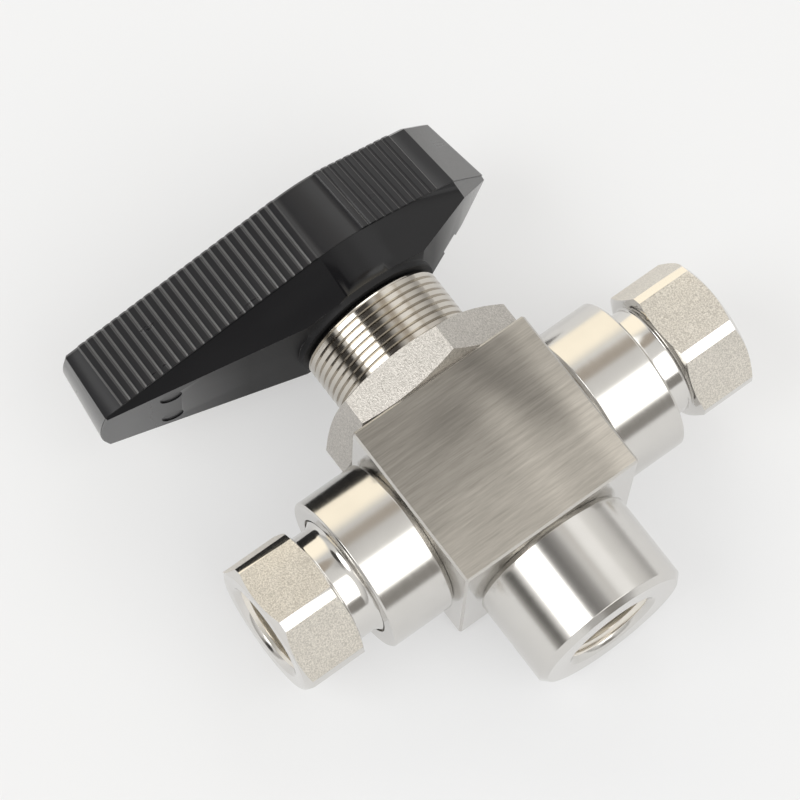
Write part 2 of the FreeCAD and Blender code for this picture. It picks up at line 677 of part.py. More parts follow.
def underside_tilts():
    """How far the arm's and the nose's undersides slope up, in radians."""
    rise = PARTING_HEIGHT - HUB_FLOOR
    arm = math.atan2(rise - TIP_EDGE, ARM_LENGTH + TIP_BULGE - ARM_FLOOR_REACH)
    nose = math.atan2(rise - NOSE_EDGE, NOSE_LENGTH - NOSE_FLOOR_REACH)
    return arm, nose


def ejector_marks():
    """Cutters for the shallow round marks: a pair under the arm and one under the nose."""
    arm, nose = underside_tilts()
    spread = ARM_EJECTOR_SPREAD / 2
    return [ejector_mark(-ARM_EJECTOR_X, -spread, -ARM_FLOOR_REACH, arm),
            ejector_mark(-ARM_EJECTOR_X, spread, -ARM_FLOOR_REACH, arm),
            ejector_mark(NOSE_EJECTOR_X, NOSE_EJECTOR_Y, NOSE_FLOOR_REACH, -nose)]


def ejector_mark(x, y, start, tilt):
    """A round cutter square to the underside that leaves the hub's floor at start."""
    height = HUB_FLOOR + abs(x - start) * math.tan(abs(tilt))
    inward = Vector(math.sin(tilt), 0, math.cos(tilt))
    foot = Vector(x, y, height) - inward * EJECTOR_DEPTH
    return Part.makeCylinder(EJECTOR_DIAMETER / 2, 2 * EJECTOR_DEPTH, foot, inward)


def insert_blank(gap):
    """Outer shape of the metal insert, or of its pocket in the handle when there is a gap."""
    flats = INSERT_ACROSS_FLATS + 2 * gap
    top = HUB_BOTTOM + INSERT_HEIGHT + gap
    slab = Part.makeBox(flats, 2 * INSERT_DIAMETER, top - HUB_BOTTOM,
                        Vector(-flats / 2, -INSERT_DIAMETER, HUB_BOTTOM))
    return slab.common(bar(INSERT_DIAMETER + 2 * gap, HUB_BOTTOM, top))


def towards_back(diameter, start, end):
    """A cylinder along +Y at the height of the handle's set screw."""
    return Part.makeCylinder(diameter / 2, end - start, Vector(0, start, SET_SCREW_HEIGHT),
                             Vector(0, 1, 0))


def handle():
    """Moulded handle: ribbed band, sloping undersides and a round rim at the foot of the hub."""
    rim = HUB_RIM_DIAMETER / 2
    rise = rim - INSERT_DIAMETER / 2
    foot = turned([(0, HUB_BOTTOM), (rim, HUB_BOTTOM), (rim, HUB_FLOOR),
                   (rim - rise, HUB_FLOOR + rise), (0, HUB_FLOOR + rise)])
    body = handle_flank().fuse([handle_band(), foot])
    access = towards_back(SET_SCREW_ACCESS_DIAMETER, 0, HUB_WIDTH)
    return upwards(body.cut([insert_blank(INSERT_GAP), access] + ejector_marks()))


def handle_insert():
    """Metal hub moulded into the handle, with the stem's square and the slot for the stop pin."""
    body = insert_blank(0).cut(stem_square(INSERT_GAP, STEM_TOP + END_GAP))
    screw = towards_back(SET_SCREW_DIAMETER + 2 * THREAD_GAP, 0, INSERT_DIAMETER)
    return upwards(body.cut([screw, stop_slot()]))


def stop_slot():
    """Round slot under the insert: the pin meets one end at rest and the other after the travel."""
    top = NECK_TOP + STOP_PIN_HEIGHT + END_GAP
    inner = STOP_PIN_CIRCLE / 2 - STOP_PIN_DIAMETER / 2 - STOP_GAP
    outer = STOP_PIN_CIRCLE / 2 + STOP_PIN_DIAMETER / 2 + STOP_GAP
    section = Part.makePolygon([Vector(0, inner, HUB_BOTTOM), Vector(0, outer, HUB_BOTTOM),
                                Vector(0, outer, top), Vector(0, inner, top),
                                Vector(0, inner, HUB_BOTTOM)])
    slot = Part.Face(section).revolve(Vector(), UP, -HANDLE_TRAVEL)
    first = bar(outer - inner, HUB_BOTTOM, top).translated(Vector(0, STOP_PIN_CIRCLE / 2, 0))
    last = first.copy()
    last.rotate(Vector(), UP, -HANDLE_TRAVEL)
    return slot.fuse([first, last])


def handle_set_screw():
    """Socket screw that presses on one side of the stem's square."""
    start = STEM_SQUARE / 2
    end = start + SET_SCREW_LENGTH
    body = towards_back(SET_SCREW_DIAMETER, start, end)
    corner = SET_SCREW_SOCKET / math.sqrt(3)
    points = []
    for index in range(7):
        angle = math.radians(60 * index)
        points.append(Vector(corner * math.cos(angle), end, SET_SCREW_HEIGHT + corner * math.sin(angle)))
    socket = Part.Face(Part.makePolygon(points)).extrude(Vector(0, -SET_SCREW_SOCKET_DEPTH, 0))
    return upwards(body.cut(socket))


def nodes():
    """Every piece of the valve by its name."""
    pieces = {
        "valve_block": valve_block(),
        "bottom_connector": bottom_connector(),
        "bottom_seal": bottom_seal(),
        "lower_bearing": lower_bearing(),
        "trunnion_ball": trunnion_ball(),
        "thrust_bearing": stem_ring(STACK_BOTTOM, THRUST_BEARING_HEIGHT),
        "lower_packing": stem_ring(LOWER_PACKING_BOTTOM, PACKING_HEIGHT),
        "upper_packing": stem_ring(UPPER_PACKING_BOTTOM, PACKING_HEIGHT),
        "gland": stem_ring(GLAND_BOTTOM, GLAND_HEIGHT),
        "packing_springs": stem_springs(),
        "packing_bolt": packing_bolt(),
        "stop_pin": stop_pin(),
        "panel_nut": panel_nut(),
        "handle": handle(),
        "handle_insert": handle_insert(),
        "handle_set_screw": handle_set_screw(),
    }
    for name, side in (("left", -1), ("right", 1)):
        pieces[name + "_collar"] = collar(side)
        pieces[name + "_connector"] = connector(side)
        pieces[name + "_seat"] = seat(side)
        pieces[name + "_seat_carrier"] = seat_carrier(side)
        pieces[name + "_seat_springs"] = seat_springs(side)
        pieces[name + "_carrier_seal"] = carrier_seal(side)
        pieces[name + "_face_seal"] = face_seal(side)
    return pieces


os.makedirs("parts", exist_ok=True)
for name, shape in nodes().items():
    shape.exportStep("parts/" + name + ".step")
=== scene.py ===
import bmesh
import bpy
import json
import math
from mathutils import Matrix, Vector


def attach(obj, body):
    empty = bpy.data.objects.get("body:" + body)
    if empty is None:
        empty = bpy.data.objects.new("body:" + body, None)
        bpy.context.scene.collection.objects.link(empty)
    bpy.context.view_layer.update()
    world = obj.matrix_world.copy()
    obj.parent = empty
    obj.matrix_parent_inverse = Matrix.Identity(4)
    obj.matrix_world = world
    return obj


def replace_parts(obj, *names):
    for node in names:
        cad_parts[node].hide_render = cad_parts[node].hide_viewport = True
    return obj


# Three-way ball valve, photographed lying on its back on a white table.
# Lengths are in metres, in the solids' own frame: +Z runs up the stem, -Y faces the camera.

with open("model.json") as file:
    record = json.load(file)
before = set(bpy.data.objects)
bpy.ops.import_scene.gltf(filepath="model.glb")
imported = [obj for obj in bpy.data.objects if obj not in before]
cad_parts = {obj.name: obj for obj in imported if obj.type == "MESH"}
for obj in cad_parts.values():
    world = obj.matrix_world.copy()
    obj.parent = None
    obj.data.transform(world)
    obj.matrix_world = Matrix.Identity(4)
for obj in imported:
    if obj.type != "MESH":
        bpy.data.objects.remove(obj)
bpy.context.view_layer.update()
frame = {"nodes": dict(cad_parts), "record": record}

MM = 0.001

# Sizes and heights of the solids that the pieces here repeat
FLOW_HEIGHT = 36.5 * MM
NECK_RADIUS = 14.29 * MM
NECK_BOTTOM = 53.1 * MM
NECK_TOP = 73.3 * MM
NECK_CHAMFER = 0.9 * MM
SPIGOT_RADIUS = 9.6 * MM
SPIGOT_BOTTOM = 46.15 * MM
CHAMBER_RADIUS = 7.9 * MM
CHAMBER_TOP = 53.75 * MM
STEM_HOLE_RADIUS = 4.55 * MM
SIDE_REACH = 50.4 * MM
SIDE_NECK_RADIUS = 10.9 * MM
HEX_START = 37.6 * MM
HEX_BAR_RADIUS = 14.0 * MM
MOUTH_RADIUS = 9.6 * MM
PORT_RADIUS = 8.55 * MM
HUB_FLOOR = 74.9 * MM
PARTING_HEIGHT = 83.9 * MM

# Threads. NECK_GROOVE is a share of the pitch, and PORT_TAPER is the radius lost per length.
# FLAT_ROOT is how deep the pipe thread's V would reach, as a share of its depth, if its root were sharp.
PITCH = 1.411 * MM
FLANK_ANGLE = math.radians(30)
NECK_GROOVE = 0.38
PORT_THREAD_END = 12.9 * MM
PORT_THREAD_DEPTH = 1.05 * MM
PORT_TAPER = 1 / 32
FLAT_ROOT = 1.1

# Thread meshes: places round the axis, and the rows of one turn as shares of the pitch
THREAD_SEGMENTS = 128
ROUND = [index / THREAD_SEGMENTS for index in range(THREAD_SEGMENTS)]
NECK_ROWS = (0.0, NECK_GROOVE / 2, 0.39, 0.61, 1 - NECK_GROOVE / 2)
PORT_ROWS = [(row + 0.5) / 10 for row in range(10)]
THREAD_SHARP_ANGLE = math.radians(30)
THREAD_MERGE = 0.0005 * MM

# Pieces made from the solids: what counts as an edge, as flat, as one point and as near,
# and the hair's breadth that keeps two surfaces apart
SHARP_ANGLE = math.radians(25)
FLAT_ANGLE = math.radians(0.3)
MERGE = 0.002 * MM
NEAR = 0.05 * MM
HAIR = 0.01 * MM

# Where the materials change on the side connectors and on the handle
FLATS_MARGIN = 0.6 * MM
NOSE_END = 26.5 * MM
TIP_END = -49.5 * MM
SEAM = 0.1 * MM

# How squarely a surface faces along an axis, from 0 to 1, to count as one of these
SIDEWAYS = 0.2
FRONT_OR_BACK = 0.8
SQUARE_ON = 0.97

# How strongly the ribs' flanks get the painted highlight, next to the handle's ends
RIB_HIGHLIGHT = 0.85

# Colours, as linear red, green and blue
STEEL = (0.69, 0.675, 0.65, 1)
STEEL_DARK = (0.56, 0.545, 0.52, 1)
THREAD_STEEL = (0.61, 0.575, 0.52, 1)
THREAD_STEEL_DARK = (0.46, 0.43, 0.385, 1)
TAPPED = (0.86, 0.82, 0.75, 1)
TAPPED_DARK = (0.7, 0.66, 0.59, 1)
BLASTED = (0.84, 0.8, 0.73, 1)
BLASTED_DARK = (0.54, 0.51, 0.46, 1)
NUT_STEEL = (0.68, 0.65, 0.61, 1)
NUT_STEEL_DARK = (0.42, 0.4, 0.37, 1)
BRUSHED = (0.85, 0.805, 0.735, 1)
BRUSHED_DARK = (0.55, 0.52, 0.47, 1)
WORN_EDGE = (0.6, 0.585, 0.56, 1)
# Dark that the painted shade mixes into the block's brushed faces
SHADED = (0.02, 0.019, 0.018, 1)
NYLON = (0.003, 0.003, 0.004, 1)
NYLON_LIGHT = (0.007, 0.007, 0.008, 1)
NYLON_GRAINED = (0.016, 0.016, 0.018, 1)
# Grey of the painted highlight on the handle's ends, the underside at its nose and the ribs' flanks
NYLON_PAINTED_HIGHLIGHT = (0.085, 0.085, 0.086, 1)
TABLE_WHITE = (0.36, 0.364, 0.372, 1)
TABLE_GLOW = (1, 1, 1, 1)
BACKDROP = (0.88, 0.88, 0.88, 1)

# Finishes of what the closed valve hides: its colour, how metallic it is and how rough
INNER_FINISHES = {
    "polished_ball": ((0.75, 0.74, 0.72, 1), 1.0, 0.1),
    "inner_steel": ((0.66, 0.65, 0.63, 1), 1.0, 0.3),
    "spring_steel": ((0.5, 0.49, 0.47, 1), 1.0, 0.35),
    "insert_metal": ((0.4, 0.39, 0.37, 1), 1.0, 0.5),
    "black_screw": ((0.05, 0.05, 0.05, 1), 1.0, 0.4),
    "seat_plastic": ((0.5, 0.36, 0.2, 1), 0.0, 0.5),
    "packing_plastic": ((0.8, 0.8, 0.77, 1), 0.0, 0.45),
    "seal_rubber": ((0.015, 0.015, 0.015, 1), 0.0, 0.6),
}

# Studio: soft lights and dark gaps round the valve. Each has the way it lies from the valve,
# the angles in degrees from its middle to its full strength and to its edge, and its colour.
# One that comes later covers those before it.
STUDIO = (
    ((0.0, -0.7, 0.7), 20, 60, (0.8, 0.79, 0.77)),
    ((0.18, -0.3, 0.95), 14, 34, (1.45, 1.33, 1.1)),
    ((-0.14, -0.96, 0.2), 6, 20, (0.36, 0.35, 0.34)),
    ((-0.2, -0.87, 0.45), 14, 18, (0.08, 0.074, 0.07)),
    ((0.3, -0.86, 0.4), 7, 13, (0.5, 0.44, 0.37)),
    ((0.62, -0.68, 0.38), 7, 13, (0.62, 0.55, 0.46)),
    ((0.5, -0.7, 0.52), 8, 15, (1.9, 1.9, 1.85)),
    ((0.58, -0.8, 0.18), 6, 16, (1.2, 1.19, 1.17)),
    ((-0.665, -0.727, 0.174), 16, 19, (3.6, 3.6, 3.55)),
    ((0.19, -0.774, -0.6), 22, 26, (2.6, 2.58, 2.5)),
    ((-0.97, -0.2, 0.18), 5, 12, (0.34, 0.33, 0.31)),
    ((-0.92, -0.22, 0.33), 7, 12, (0.05, 0.048, 0.045)),
    ((0.19, -0.29, -0.94), 9, 15, (0.3, 0.285, 0.265)),
)

# Brightness of the room, from behind the table at 0 to the camera's side at 1, and its warm tint
ROOM_LEVELS = ((0.0, 0.95), (0.44, 0.95), (0.5, 0.6), (0.56, 0.5), (0.66, 0.75), (0.8, 0.95), (1.0, 0.9))
ROOM_TINT = (1, 0.985, 0.96)

# The table's size, and where the lying valve touches it
TABLE_HALF_WIDTH = 1.5
NUT_TOUCH = Vector((0, 20.85 * MM, 56.5 * MM))
BARREL_TOUCH = Vector((0, 15.8 * MM, 0))

# Camera at the photograph's viewing angle
CAMERA_PLACE = (-0.1567, -0.67377, -0.11987)
CAMERA_TURN = (108.025, 36.541, -1.744)
CAMERA_LENS = 176.37
SENSOR_WIDTH = 36
NEAREST_SEEN = 0.01


class Nodes:
    """Short calls for building one node tree."""

    def __init__(self, tree):
        self.tree = tree
        tree.nodes.clear()

    def fill(self, node, socket, value):
        """Give an input socket a link or a plain value; None leaves it as it is."""
        if isinstance(value, bpy.types.NodeSocket):
            self.tree.links.new(value, node.inputs[socket])
        elif value is not None:
            node.inputs[socket].default_value = value

    def add(self, kind, **settings):
        """A new node, with its properties and its input sockets given by name."""
        node = self.tree.nodes.new("ShaderNode" + kind)
        for name, value in settings.items():
            if hasattr(node, name):
                setattr(node, name, value)
            else:
                self.fill(node, name.replace("_", " "), value)
        return node

    def math(self, operation, first, *others):
        """Apply an operation to numbers or sockets, from left to right."""
        for second in others or (None,):
            node = self.add("Math", operation=operation)
            self.fill(node, 0, first)
            self.fill(node, 1, second)
            first = node.outputs[0]
        return first

    def blend(self, factor, first, second):
        """Mix two numbers."""
        return self.math("ADD", self.math("MULTIPLY", first, self.math("SUBTRACT", 1.0, factor)),
                         self.math("MULTIPLY", second, factor))

    def mix(self, factor, first, second):
        """Mix two colours."""
        node = self.add("Mix", data_type="RGBA")
        for socket, value in ((0, factor), (6, first), (7, second)):
            self.fill(node, socket, value)
        return node.outputs[2]

    def mix_shaders(self, factor, first, second):
        node = self.add("MixShader")
        for socket, value in enumerate((factor, first, second)):
            self.fill(node, socket, value)
        return node.outputs[0]

    def noise(self, vector, scale, detail=3.0, roughness=0.5):
        """Noise with one scale, or with one for each axis where its grain is longer one way."""
        if isinstance(scale, tuple):
            vector = self.add("Mapping", Vector=vector, Scale=scale).outputs[0]
            scale = 1.0
        node = self.add("TexNoise", Vector=vector, Scale=scale, Detail=detail, Roughness=roughness)
        return node.outputs[0]

    def spread(self, value, low, high, start=0.0, end=1.0, curve="LINEAR"):
        """Map a value from the range start to end onto low to high."""
        return self.add("MapRange", interpolation_type=curve, Value=value, From_Min=start, From_Max=end,
                        To_Min=low, To_Max=high).outputs[0]

    def soft_step(self, value, low, high, start, end):
        """As spread, with soft ends."""
        return self.spread(value, low, high, start, end, curve="SMOOTHSTEP")

    def soft_band(self, value, strength, middle, half_width):
        """Full strength at the middle, fading smoothly to nothing at the half width."""
        away = self.math("ABSOLUTE", self.math("SUBTRACT", value, middle))
        return self.soft_step(away, strength, 0.0, start=0.0, end=half_width)

    def bump(self, height, strength, distance):
        return self.add("Bump", Height=height, Strength=strength, Distance=distance).outputs[0]

    def position(self):
        return self.add("TexCoord").outputs["Object"]

    def parts(self, vector):
        """The X, Y and Z of a vector."""
        return self.add("SeparateXYZ", Vector=vector).outputs

    def facing(self):
        """The X, Y and Z of the way that the surface faces."""
        return self.parts(self.add("NewGeometry").outputs["True Normal"])


def blank_material(name):
    material = bpy.data.materials.new(name)
    material.use_nodes = True
    return material, Nodes(material.node_tree)


def finished(name, surface):
    """A material. The function surface gives its sockets, from its nodes and the place on the piece."""
    material, nodes = blank_material(name)
    shader = nodes.add("BsdfPrincipled", **surface(nodes, nodes.position()))
    nodes.add("OutputMaterial", Surface=shader.outputs[0])
    return material


def lathe_rings(nodes, where, axis):
    """Fine rings about an axis, as turning leaves them: close along it and drawn out round it."""
    close, drawn_out = 9000, 60
    scale = (close, drawn_out, drawn_out) if axis == "X" else (drawn_out, drawn_out, close)
    return nodes.noise(where, scale, detail=2.0)


def turned_steel(name, axis, roughness=0.14, light=STEEL, dark=STEEL_DARK):
    """Bright turned steel: faint lathe rings about the axis, and reflections drawn out across them."""
    def surface(nodes, where):
        rings = lathe_rings(nodes, where, axis)
        cloud = nodes.noise(where, 180.0, detail=4.0)
        return {
            "Base_Color": nodes.mix(nodes.spread(cloud, 0.0, 0.5), light, dark),
            "Roughness": nodes.spread(rings, roughness - 0.03, roughness + 0.06),
            "Normal": nodes.bump(rings, strength=0.12, distance=0.03 * MM),
            "Tangent": nodes.add("Tangent", direction_type="RADIAL", axis=axis).outputs[0],
            "Anisotropic": 0.35,
            "Metallic": 1.0,
        }
    return finished(name, surface)


def blasted_grain(nodes, where, light, dark):
    """Colour, roughness and height of the pits that blasting leaves."""
    pits = nodes.noise(where, 3400.0, roughness=0.7)
    cloud = nodes.noise(where, 160.0)
    pitted = nodes.mix(nodes.spread(pits, 0.0, 1.0, start=0.38, end=0.62), dark, light)
    colour = nodes.mix(nodes.spread(cloud, 0.0, 0.18, start=0.35, end=0.65), pitted, dark)
    return colour, nodes.spread(pits, 0.34, 0.5), pits


def blasted_steel(name):
    """Steel with the fine pitted grain of bead blasting."""
    def surface(nodes, where):
        colour, roughness, pits = blasted_grain(nodes, where, NUT_STEEL, NUT_STEEL_DARK)
        return {
            "Base_Color": colour,
            "Roughness": roughness,
            "Normal": nodes.bump(pits, strength=0.5, distance=0.12 * MM),
            "Metallic": 1.0,
        }
    return finished(name, surface)


def hexagon_flats(nodes, where):
    """1 on a side connector's six flats, which lie inside its bar's radius, and 0 elsewhere."""
    across, depth, height = nodes.parts(where)
    above = nodes.math("SUBTRACT", height, FLOW_HEIGHT)
    radius = nodes.math("SQRT", nodes.math("ADD", nodes.math("POWER", above, 2.0),
                                           nodes.math("POWER", depth, 2.0)))
    endways = nodes.math("ABSOLUTE", nodes.facing()[0])
    return nodes.math("MULTIPLY",
                      nodes.math("LESS_THAN", endways, SIDEWAYS),
                      nodes.math("GREATER_THAN", radius, SIDE_NECK_RADIUS + FLATS_MARGIN),
                      nodes.math("LESS_THAN", radius, HEX_BAR_RADIUS - 2 * HAIR),
                      nodes.math("GREATER_THAN", nodes.math("ABSOLUTE", across), HEX_START - FLATS_MARGIN))


def hexagon_steel(name):
    """Side connector: blasted flats on bright turned bar."""
    def surface(nodes, where):
        flat = hexagon_flats(nodes, where)
        rings = lathe_rings(nodes, where, "X")
        colour, roughness, pits = blasted_grain(nodes, where, BLASTED, BLASTED_DARK)
        height = nodes.math("MULTIPLY", pits, flat)
        return {
            "Base_Color": nodes.mix(flat, STEEL, colour),
            "Roughness": nodes.blend(flat, nodes.spread(rings, 0.08, 0.16), roughness),
            "Normal": nodes.bump(height, strength=0.5, distance=0.12 * MM),
            "Metallic": 1.0,
        }
    return finished(name, surface)


def block_shade(nodes, where):
    """Painted shade on the brushed face: darker towards the handle, with soft bands of painted reflection
    along its height.
    """
    unevenness = 16 * MM
    lean = 0.32
    across, _, height = nodes.parts(where)
    cloud = nodes.noise(where, (25, 60, 60), detail=2.0)
    uneven_height = nodes.math("ADD", height, nodes.math("MULTIPLY", cloud, unevenness))
    shade = nodes.soft_step(uneven_height, 0.28, 0.54, start=31 * MM, end=55 * MM)
    leaning = nodes.math("ADD", across, nodes.math("MULTIPLY", height, lean))
    painted_dark_band = nodes.math("MULTIPLY",
                           nodes.soft_band(leaning, 0.13, middle=23 * MM, half_width=5.6 * MM),
                           nodes.soft_step(height, 0.0, 1.0, start=27 * MM, end=37 * MM))
    painted_dark_patch = nodes.math("MULTIPLY",
                            nodes.soft_band(across, 0.09, middle=-4 * MM, half_width=10 * MM),
                            nodes.soft_band(height, 1.0, middle=45 * MM, half_width=7 * MM))
    painted_pale_band = nodes.math("MULTIPLY",
                           nodes.soft_band(across, 0.11, middle=3.8 * MM, half_width=5 * MM),
                           nodes.soft_step(height, 1.0, 0.0, start=42 * MM, end=47 * MM))
    painted_pale_edge = nodes.soft_step(across, 0.0, 0.24, start=12.5 * MM, end=17 * MM)
    # The painted shade, deepened by the dark painted reflections and lifted by the pale ones
    return nodes.math("SUBTRACT", nodes.math("ADD", shade, painted_dark_band, painted_dark_patch), painted_pale_band, painted_pale_edge)


def brushed_block(name):
    """Block of drawn bar: large faces brushed along X and darkened by painted shade, bright cut faces, and
    edges worn brighter.
    """
    def surface(nodes, where):
        facing = [nodes.math("ABSOLUTE", part) for part in nodes.facing()]
        brushed = nodes.math("GREATER_THAN", facing[1], FRONT_OR_BACK)
        edge = nodes.math("LESS_THAN", nodes.math("MAXIMUM", *facing), SQUARE_ON)
        broad = nodes.noise(where, (70, 1100, 1000), roughness=0.6)
        narrow = nodes.noise(where, (170, 4600, 3900), detail=5.0, roughness=0.7)
        fine = nodes.noise(where, (300, 9000, 8000), roughness=0.6)
        streaks = nodes.blend(0.6, broad, narrow)
        streaked = nodes.mix(nodes.spread(streaks, 0.0, 1.0, start=0.32, end=0.68), BRUSHED_DARK, BRUSHED)
        # The brushed faces are darkened towards SHADED by block_shade's painted shade and painted
        # reflections
        face = nodes.mix(brushed, STEEL, nodes.mix(block_shade(nodes, where), streaked, SHADED))
        roughness = nodes.blend(brushed, nodes.spread(fine, 0.14, 0.24), nodes.spread(streaks, 0.3, 0.4))
        height = nodes.math("MULTIPLY", nodes.blend(0.6, streaks, fine), brushed)
        return {
            "Base_Color": nodes.mix(edge, face, WORN_EDGE),
            "Roughness": nodes.blend(edge, roughness, 0.5),
            "Normal": nodes.bump(height, strength=0.22, distance=0.04 * MM),
            "Metallic": 1.0,
        }
    return finished(name, surface)


def handle_masks(nodes, where):
    """How far a place is on the band above the parting line, how much painted highlight it gets, and how
    dull.
    """
    along, _, height = nodes.parts(where)
    facing_along, _, facing_up = nodes.facing()
    on_band = nodes.spread(height, 0.0, 1.0, start=PARTING_HEIGHT, end=PARTING_HEIGHT + SEAM)
    below = nodes.spread(facing_up, 1.0, 0.0, start=-0.95, end=-0.8)
    under_nose = nodes.math("MULTIPLY", below, nodes.spread(along, 0.0, 1.0, start=17 * MM, end=32 * MM))
    # Painted highlight: the handle's ends, its ribs' flanks on the band and the underside at its nose are
    # lightened
    past_ribs = nodes.math("MAXIMUM", nodes.math("GREATER_THAN", along, NOSE_END),
                           nodes.math("LESS_THAN", along, TIP_END))
    highlight_reach = nodes.math("MAXIMUM", past_ribs, nodes.math("MULTIPLY", on_band, RIB_HIGHLIGHT))
    endways = nodes.spread(nodes.math("ABSOLUTE", facing_along), 0.0, 1.0, start=0.55, end=0.7)
    painted_highlight = nodes.math("MAXIMUM", nodes.math("MULTIPLY", endways, highlight_reach), under_nose)
    under_hub = nodes.math("MULTIPLY", below, nodes.spread(along, 0.0, 1.0, start=-48 * MM, end=-24 * MM))
    at_rim = nodes.spread(height, 1.0, 0.0, start=HUB_FLOOR - SEAM, end=HUB_FLOOR)
    dull = nodes.math("MULTIPLY", nodes.math("MAXIMUM", under_hub, at_rim),
                      nodes.math("SUBTRACT", 1.0, under_nose))
    return on_band, painted_highlight, dull


def moulded_nylon(name):
    """Black glass-filled nylon with a fine moulded grain and faint flow streaks. A painted highlight
    lightens its ends, the underside at its nose and the ribs' flanks; the band above the parting line is
    duller, and so is the underside at the hub."""
    def surface(nodes, where):
        on_band, painted_highlight, dull = handle_masks(nodes, where)
        grain = nodes.noise(where, 5200.0)
        flow = nodes.noise(where, (60, 90, 220), detail=4.0)
        # The painted highlight, broken by the grain
        grained_highlight = nodes.math("MULTIPLY", painted_highlight, nodes.spread(grain, 0.6, 1.2, start=0.3, end=0.7))
        plain = nodes.mix(on_band, nodes.mix(flow, NYLON, NYLON_LIGHT), NYLON_GRAINED)
        roughness = nodes.blend(on_band, nodes.spread(flow, 0.13, 0.22), nodes.spread(flow, 0.24, 0.34))
        return {
            "Base_Color": nodes.mix(grained_highlight, plain, NYLON_PAINTED_HIGHLIGHT),
            "Roughness": nodes.blend(dull, roughness, 0.62),
            "Normal": nodes.bump(grain, strength=0.06, distance=0.04 * MM),
            "Specular_IOR_Level": nodes.spread(painted_highlight, 0.36, 1.0),
            "Sheen_Weight": nodes.spread(dull, 0.35, 0.0),
            "Sheen_Roughness": 0.3,
        }
    return finished(name, surface)


def plain_inner(name, colour, metallic, roughness):
    """Pieces that the closed valve hides: their own colour with a fine grain."""
    darker = tuple(part * 0.8 for part in colour[:3]) + (1,)

    def surface(nodes, where):
        grain = nodes.noise(where, 2500.0, detail=4.0)
        return {
            "Base_Color": nodes.mix(grain, colour, darker),
            "Roughness": nodes.spread(grain, roughness - 0.06, roughness + 0.06),
            "Normal": nodes.bump(grain, strength=0.1, distance=0.05 * MM),
            "Metallic": metallic,
        }
    return finished(name, surface)


def new_piece(name, mesh, body, material):
    piece = bpy.data.objects.new(name, mesh)
    bpy.context.scene.collection.objects.link(piece)
    mesh.materials.clear()
    mesh.materials.append(material)
    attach(piece, body)
    return piece


def smooth_mesh(name, form, sharp_angle):
    """A mesh that is shaded smooth, except over edges sharper than the angle."""
    mesh = bpy.data.meshes.new(name)
    form.to_mesh(mesh)
    form.free()
    mesh.shade_smooth()
    mesh.set_sharp_from_angle(angle=sharp_angle)
    return mesh


def softened(node, name, body, material, width, into_port=None):
    """A node's own shape with its edges rounded over by a small radius."""
    form = bmesh.new()
    form.from_mesh(frame["nodes"][node].data)
    bmesh.ops.remove_doubles(form, verts=form.verts, dist=MERGE)
    bmesh.ops.dissolve_limit(form, angle_limit=FLAT_ANGLE, verts=form.verts, edges=form.edges)
    if into_port:
        deepen_mouth(form, into_port)
    weights = form.edges.layers.float.new("bevel_weight_edge")
    for edge in form.edges:
        if edge.is_convex and edge.calc_face_angle(0.0) > SHARP_ANGLE:
            edge[weights] = 1.0
    piece = new_piece(name, smooth_mesh(name, form, SHARP_ANGLE), body, material)
    bevel = piece.modifiers.new("rounded edges", "BEVEL")
    bevel.width = width
    bevel.segments = 3
    bevel.limit_method = "WEIGHT"
    bevel.harden_normals = True
    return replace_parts(piece, node)


def deepen_mouth(form, place):
    """Carry a port's countersink on at 45 degrees to the hole's wall, as it is in the photograph."""
    end = place(0, 0, 0)
    inward = (place(0, 0, MM) - end).normalized()
    cone_depth = MOUTH_RADIUS - PORT_RADIUS
    for vertex in form.verts:
        depth = (vertex.co - end).dot(inward)
        radius = (vertex.co - end - inward * depth).length
        if depth < cone_depth and abs(radius - PORT_RADIUS) < NEAR:
            vertex.co += inward * (cone_depth - depth)


def groove_share(turns, groove):
    """How deep a V groove is at a place along the thread: 1 at its bottom, 0 on the flat crest."""
    from_groove = min(turns % 1, 1 - turns % 1)
    return max(0.0, 1 - from_groove / (groove / 2))


def ring_point(form, share, radius, height, place):
    angle = 2 * math.pi * share
    return form.verts.new(place(radius * math.cos(angle), radius * math.sin(angle), height))


def thread_rows(form, low, high, steps, radius_at, place):
    """Rows of points that climb with the thread, held between its two ends."""
    rows = []
    for turn in range(-1, math.ceil((high - low) / PITCH) + 1):
        for step in steps:
            row = []
            for share in ROUND:
                height = min(high, max(low, low + PITCH * (turn + step + share)))
                row.append(ring_point(form, share, radius_at(height, share), height, place))
            rows.append(row)
    return rows


def join_rows(form, rows, rows_in_turn):
    """Faces between neighbouring rows. The end of a row meets the start of the row a turn above."""
    last = len(rows) - 1
    for number in range(last):
        row, following = rows[number], rows[number + 1]
        for index in range(THREAD_SEGMENTS - 1):
            form.faces.new((row[index], row[index + 1], following[index + 1], following[index]))
        above = min(last, number + rows_in_turn)
        if above < last:
            form.faces.new((row[-1], rows[above][0], rows[above + 1][0], following[-1]))


def threaded_mesh(name, low, high, steps, radius_at, closing, place):
    """A closed mesh whose rows follow a right-hand thread; closing gives the rings that end it."""
    form = bmesh.new()
    rows = thread_rows(form, low, high, steps, radius_at, place)
    join_rows(form, rows, len(steps))
    rings = [rows[-1]]
    for height, radius in closing:
        rings.append([ring_point(form, share, radius, height, place) for share in ROUND])
    rings.append(rows[0])
    for before, after in zip(rings, rings[1:]):
        for index in range(THREAD_SEGMENTS):
            form.faces.new((before[index - 1], before[index], after[index], after[index - 1]))
    bmesh.ops.remove_doubles(form, verts=form.verts, dist=THREAD_MERGE)
    bmesh.ops.recalc_face_normals(form, faces=form.faces)
    return smooth_mesh(name, form, THREAD_SHARP_ANGLE)


def upright(x, y, height):
    return Vector((x, y, height))


def into_side(side):
    """Place a point given across and down a side port, so that a rising helix is right-hand."""
    return lambda x, y, depth: Vector((side * (SIDE_REACH - depth), side * y, FLOW_HEIGHT + x))


